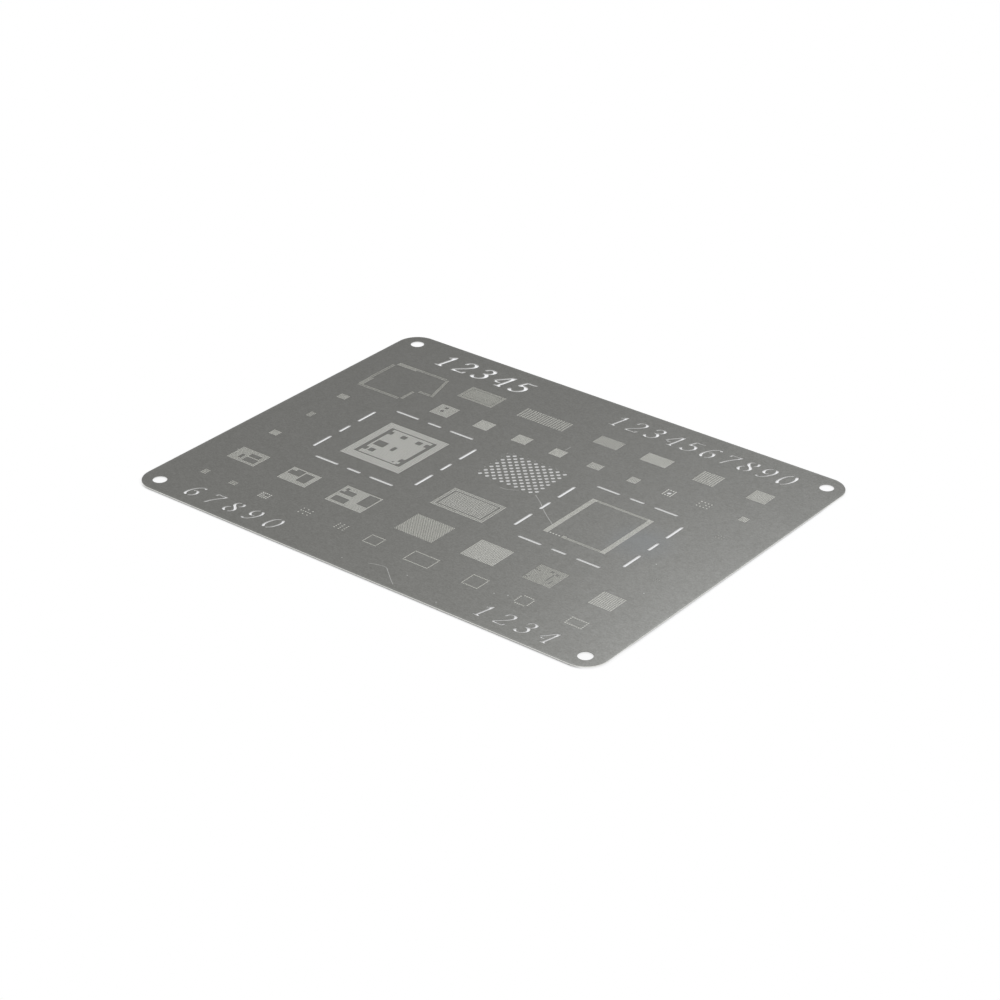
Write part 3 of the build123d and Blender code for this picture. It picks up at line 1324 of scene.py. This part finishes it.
@dataclass(frozen=True)
class CutSteel:
    """The bright walls that the laser leaves, faintly ribbed down the cut."""

    name: str = "cut_steel"
    dark: Colour = (0.64, 0.64, 0.61)
    light: Colour = (0.88, 0.88, 0.84)
    rib: float = 0.00006
    rib_drawn: float = 0.2
    rib_depth: float = 0.000003
    roughness: float = 0.38
    rib_roughness: float = 0.2

    def material(self) -> bpy.types.Material:
        """Builds the finish.

        Returns:
            The material.
        """
        bench = ShaderBench(bpy.data.materials.new(self.name))
        drawn_out = bench.stretched(bench.place(), (1.0, 1.0, self.rib_drawn))
        ribs = bench.noise(drawn_out, 1 / self.rib)
        colour = bench.blend(ribs, self.dark, self.light)
        roughness = self.roughness + (ribs - 0.5) * self.rib_roughness
        return bench.finish(bench.metal(colour, roughness, bench.relief(ribs, self.rib_depth)))


@dataclass(frozen=True)
class PaintedShadeCutSteel(CutSteel):
    """The walls of the holes, the slots, the numerals and the turned apertures, darker with
    painted shade.
    """

    name: str = "painted_shade_cut_steel"
    dark: Colour = (0.21, 0.21, 0.2)
    light: Colour = (0.33, 0.33, 0.32)


@dataclass(frozen=True)
class BurnishedSteel:
    """Steel rubbed bright in a scratch or a nick."""

    name: str = "burnished_steel"
    dark: Colour = (0.27, 0.27, 0.26)
    light: Colour = (0.5, 0.5, 0.48)
    breaks: float = 0.0006
    roughness: float = 0.34
    break_roughness: float = 0.2

    def material(self) -> bpy.types.Material:
        """Builds the finish.

        Returns:
            The material.
        """
        bench = ShaderBench(bpy.data.materials.new(self.name))
        strength = bench.noise(bench.place(), 1 / self.breaks, 2.0, 0.6)
        colour = bench.blend(strength, self.dark, self.light)
        roughness = self.roughness + (strength - 0.5) * self.break_roughness
        return bench.finish(bench.metal(colour, roughness))


@dataclass(frozen=True)
class PaleFloor:
    """A plain pale floor, pure white round the sheet, shaded in its openings, with painted light
    and shade.
    """

    name: str = "pale_floor"
    colour: Colour = (0.97, 0.97, 0.97)
    near_white: float = 0.39
    corner_painted_light: float = 0.72
    corner_from: float = 0.00105
    corner_fade: float = 0.00012
    mirrored_white: float = 0.88
    half_length: float = LENGTH / 2 * MM
    half_width: float = WIDTH / 2 * MM
    corner_radius: float = CORNER_RADIUS * MM
    fade: float = 0.0005

    def material(self) -> bpy.types.Material:
        """Builds the finish, with painted light that makes it brighter in the corner holes than
        elsewhere.

        Returns:
            The material.
        """
        bench = ShaderBench(bpy.data.materials.new(self.name))
        matt = bench.signal("ShaderNodeBsdfDiffuse", sockets={"Color": (*self.colour, 1.0)})
        white = bench.signal("ShaderNodeEmission", sockets={"Strength": 1.0})
        along, across = (abs(axis) for axis in bench.axes(bench.place(), "X", "Y"))
        past_x, past_y = (
            bench.math("MAXIMUM", axis - (half - self.corner_radius), 0.0)
            for axis, half in ((along, self.half_length), (across, self.half_width))
        )
        reach = bench.math("SQRT", past_x * past_x + past_y * past_y)
        outside = reach - self.corner_radius
        beyond = bench.math("MULTIPLY", outside, 1.0 / self.fade, clamp=True)
        # Painted shade: under the long edges the white share falls to nothing, so a dark line
        # deepens the contact shadow there.
        within = bench.math("MULTIPLY", across - self.half_width, -1.0 / self.fade, clamp=True)
        # Painted light: round the corner holes the floor takes a larger share of white, so it
        # shows brighter through them.
        corner = bench.math("MULTIPLY_ADD", along * across, 1.0 / self.corner_fade,
                            -self.corner_from / self.corner_fade, clamp=True)
        near = self.near_white + corner * (self.corner_painted_light - self.near_white)
        seen = bench.math("MAXIMUM", beyond, within * near)
        camera, glossy = bench.rays()
        shown = bench.math("MAXIMUM", camera * seen, glossy * self.mirrored_white)
        surface = bench.signal("ShaderNodeMixShader", sockets={0: shown, 1: matt, 2: white})
        return bench.finish(surface)


@dataclass
class Stencil:
    """The reballing stencil: one steel sheet with every cutout at its real pitch."""

    length: float = LENGTH
    width: float = WIDTH
    thickness: float = 0.12
    corner_radius: float = CORNER_RADIUS
    corner_sides: int = 20
    hole_diameter: float = 2.3
    hole_spacing_x: float = 82.0
    hole_spacing_y: float = 62.0
    hole_sides: int = 48
    square: SquareField = field(default_factory=SquareField)
    ring: RingField = field(default_factory=RingField)
    plate: PlateField = field(default_factory=PlateField)
    staggered: StaggeredField = field(default_factory=StaggeredField)
    small: SmallFields = field(default_factory=SmallFields)

    def blank(self) -> Outline:
        """The outline of the sheet.

        Returns:
            The four round corners, anticlockwise from the back right one.
        """
        reach_x = self.length / 2 - self.corner_radius
        reach_y = self.width / 2 - self.corner_radius
        points = []
        for quarter, (side_x, side_y) in enumerate(((1, 1), (-1, 1), (-1, -1), (1, -1))):
            for i in range(self.corner_sides + 1):
                angle = math.pi / 2 * (quarter + i / self.corner_sides)
                points.append((side_x * reach_x + self.corner_radius * math.cos(angle),
                               side_y * reach_y + self.corner_radius * math.sin(angle)))
        return points

    def framed_field(self) -> list[Field]:
        """The framed field between the two big ones."""
        return framed(1.37, -7.69, width=10.05, height=6.02, pitch=0.34, opening=(0.236, 0.208),
                      gap=(0.36, 0.3))

    def apertures(self) -> list[Aperture]:
        """Every aperture of the sheet, but for the locating holes.

        Returns:
            The apertures, field by field.
        """
        fields = self.square.fields() + self.ring.fields() + self.plate.bars()
        fields += self.framed_field() + self.small.fields()
        found = [aperture for one in fields for aperture in one.apertures()]
        return found + self.plate.slope() + self.staggered.apertures()

    def locating_holes(self) -> list[Aperture]:
        """The round hole in each corner.

        Returns:
            The four holes, from left to right.
        """
        size = self.hole_diameter
        return [
            Aperture(side_x * self.hole_spacing_x / 2, side_y * self.hole_spacing_y / 2, size,
                     size, Opening.ROUND, round_sides=self.hole_sides)
            for side_x in (-1, 1)
            for side_y in (-1, 1)
        ]

    def slots(self) -> list[ReliefSlots]:
        """The relief slots round the two big fields.

        Returns:
            Those round the square field, then those round the ring.
        """
        return [
            ReliefSlots(-19.57, -0.23, field_width=12.15, field_height=12.5),
            ReliefSlots(20.63, -0.43, field_width=11.4, field_height=12.55),
        ]

    def numerals(self) -> list[Numerals]:
        """Plain counting numerals along the back and front edges.

        Returns:
            The two runs at the back, then the two at the front.
        """
        return [
            Numerals("12345", left=-34.9, right=-14.9, base=27.0, cap_height=4.1, thick=0.165,
                     thin=0.11),
            Numerals("1234567890", left=1.0, right=36.6, base=27.5, cap_height=3.6),
            Numerals("67890", left=-36.2, right=-16.0, base=-31.9, cap_height=3.3),
            Numerals("1234", left=20.6, right=35.8, base=-31.9, cap_height=3.3),
        ]

    def build(self) -> bpy.types.Object:
        """Makes the sheet's mesh and dresses it.

        Returns:
            The sheet.
        """
        cutter = SheetCutter(self.blank(), self.thickness)
        apertures = self.apertures()
        for aperture in apertures:
            cutter.cut(aperture.outline(), fine=aperture.shape is Opening.SQUARE)
        for hole in self.locating_holes():
            cutter.cut(hole.outline())
        for group in (*self.slots(), *self.numerals()):
            for outline in group.outlines():
                cutter.cut(outline)
        for outline in Scratches().outlines():
            cutter.mark(outline)
        mesh = cutter.mesh("perforated_sheet")
        for finish in (RolledSteel(), CutSteel(), BurnishedSteel(), PaintedShadeCutSteel()):
            mesh.materials.append(finish.material())
        sheet = bpy.data.objects.new("perforated_sheet", mesh)
        bpy.context.scene.collection.objects.link(sheet)
        triangles = sum(len(face.vertices) - 2 for face in mesh.polygons)
        log.info("%s: %d apertures, %d triangles", sheet.name, len(apertures), triangles)
        return sheet


@dataclass
class Studio:
    """The floor, the light and the camera."""

    floor_size: float = 6.0
    floor_drop: float = 0.00012
    lamp_place: Place = (-0.036, 0.171, 0.244)
    lamp_size: float = 0.08
    lamp_power: float = 0.39
    lamp_tint: Colour = (0.93, 0.95, 1.0)
    lens: float = 96.98
    sensor: float = 36.0
    near_clip: float = 0.01
    camera_place: Place = (0.226946, -0.285821, 0.198143)
    camera_aim: Place = (0.004159, -0.003422, 0.00012)
    camera_roll: float = 0.16
    world_light: float = 0.8
    mirrored_from: float = 0.48
    mirrored_rise: float = 4.2
    mirrored_low: float = 0.45
    mirrored_high: float = 2.3

    def floor(self) -> bpy.types.Object:
        """The floor under the sheet.

        Returns:
            The floor, with its finish.
        """
        half = self.floor_size / 2
        mesh = bpy.data.meshes.new("floor")
        corners = [(-half, -half), (half, -half), (half, half), (-half, half)]
        mesh.from_pydata([(x, y, -self.floor_drop) for x, y in corners], [], [(0, 1, 2, 3)])
        mesh.materials.append(PaleFloor().material())
        made = bpy.data.objects.new("floor", mesh)
        bpy.context.scene.collection.objects.link(made)
        return made

    def world(self) -> bpy.types.World:
        """A white surround that lights softly, and that metal sees grow brighter overhead.

        Returns:
            The surround.
        """
        bench = ShaderBench(bpy.data.worlds.new("surround"))
        camera, glossy = bench.rays()
        direction = bench.signal("ShaderNodeTexCoord", output="Generated")
        height = bench.axes(direction, "Z")[0]
        mirrored = bench.math("MAXIMUM", self.mirrored_low, bench.math(
            "MINIMUM", self.mirrored_high, 1.0 + (height - self.mirrored_from) * self.mirrored_rise
        ))
        strength = (self.world_light + camera * (1.0 - self.world_light)
                    + glossy * (mirrored - self.world_light))
        surface = bench.signal("ShaderNodeBackground", sockets={"Strength": strength})
        made = bench.finish(surface, "ShaderNodeOutputWorld")
        bpy.context.scene.world = made
        return made

    def lamp(self) -> bpy.types.Object:
        """The soft square lamp behind the sheet.

        Returns:
            The lamp, which faces the middle of the sheet.
        """
        data = bpy.data.lights.new("key_lamp", "AREA")
        data.shape = "SQUARE"
        data.size = self.lamp_size
        data.energy = self.lamp_power
        data.color = self.lamp_tint
        made = bpy.data.objects.new("key_lamp", data)
        made.location = self.lamp_place
        facing = -Vector(self.lamp_place)
        made.rotation_euler = facing.to_track_quat("-Z", "Y").to_euler()
        bpy.context.scene.collection.objects.link(made)
        return made

    def camera(self) -> bpy.types.Object:
        """The camera at the photograph's viewing angle.

        Returns:
            The camera, which is the scene's own.
        """
        data = bpy.data.cameras.new("camera")
        data.sensor_width = self.sensor
        data.lens = self.lens
        data.clip_start = self.near_clip
        made = bpy.data.objects.new("camera", data)
        facing = Vector(self.camera_aim) - Vector(self.camera_place)
        turn = facing.to_track_quat("-Z", "Y").to_matrix().to_4x4()
        roll = Matrix.Rotation(math.radians(self.camera_roll), 4, "Z")
        made.matrix_world = Matrix.Translation(self.camera_place) @ turn @ roll
        bpy.context.scene.collection.objects.link(made)
        bpy.context.scene.camera = made
        return made

    def build(self) -> bpy.types.Object:
        """Sets up the studio.

        Returns:
            The floor.
        """
        self.world()
        self.lamp()
        self.camera()
        bpy.context.scene.view_settings.view_transform = "Standard"
        return self.floor()


def main() -> None:
    """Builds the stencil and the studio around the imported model."""
    logging.basicConfig(level=logging.INFO, format="%(name)s: %(message)s")
    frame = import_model()
    log.info("frame nodes: %s", ", ".join(sorted(frame["nodes"])))
    sheet = Stencil().build()
    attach(sheet, "root")
    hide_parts("stencil_sheet")
    floor = Studio().build()
    log.info("floor and light are set")


if __name__ == "__main__":
    main()
